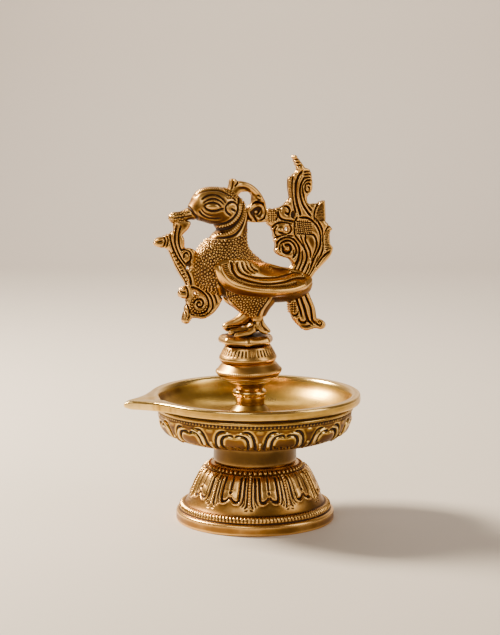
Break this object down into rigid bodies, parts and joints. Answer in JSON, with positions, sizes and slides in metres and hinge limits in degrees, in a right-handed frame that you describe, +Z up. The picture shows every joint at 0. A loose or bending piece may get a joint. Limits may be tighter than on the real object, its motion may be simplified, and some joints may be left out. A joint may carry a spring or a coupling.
{
  "type": "standing oil lamp",
  "caption": "Brass oil lamp with a bell foot, a shallow dish with a pointed wick spout, and a screwed-in stem that carries a bird finial.",
  "frame": {"origin": "centre of the foot's resting face", "axes": "+Z up along the foot's axis, -X towards the spout's tip and the bird's beak, mirror plane at Y = 0"},
  "size_m": [0.1328, 0.1156, 0.1998],
  "materials": {
    "cast_brass": "antique brass: dark patina in the relief, rubbed bright on the high spots",
    "dish_brass": "antique brass with chased relief outside, satin bright inside the dish",
    "turned_brass": "turned brass with fine lathe rings, light patina",
    "bird_brass": "antique brass, chased and punched, dark patina in the recesses"
  },
  "bodies": {
    "foot": {"foot": "cast_brass"},
    "collar": {"neck_collar": "turned_brass"},
    "dish": {"oil_dish": "dish_brass", "dish_spigot": "turned_brass", "stem": "turned_brass"},
    "ring": {"stem_ring": "turned_brass"},
    "finial": {"drip_cup": "turned_brass", "lower_disc": "cast_brass", "upper_disc": "cast_brass", "perch_plate": "cast_brass", "finial_stud": "turned_brass", "bird_body": "bird_brass", "bird_feet": "bird_brass", "wing_left": "bird_brass", "wing_right": "bird_brass", "tail_fan": "bird_brass", "tail_plume": "bird_brass", "crest_arch": "bird_brass", "beak_garland": "bird_brass"}
  },
  "joints": [
    {"name": "dish_turn", "type": "hinge", "parent": "foot", "child": "collar", "pos_m": [0, 0, 0.0376], "axis": [0, 0, 1], "range_deg": [0, 1800]},
    {"name": "dish_rise", "type": "slide", "parent": "collar", "child": "dish", "axis": [0, 0, 1], "range_m": [0, 0.01]},
    {"name": "finial_turn", "type": "hinge", "parent": "dish", "child": "ring", "pos_m": [-0.0035, 0, 0.0703], "axis": [0, 0, 1], "range_deg": [0, 2880]},
    {"name": "finial_rise", "type": "slide", "parent": "ring", "child": "finial", "axis": [0, 0, 1], "range_m": [0, 0.01]}
  ],
  "couplings": [
    {"joint": "dish_rise", "follows": "dish_turn", "m_per_rad": 0.00031831},
    {"joint": "finial_rise", "follows": "finial_turn", "m_per_rad": 0.00019894}
  ]
}
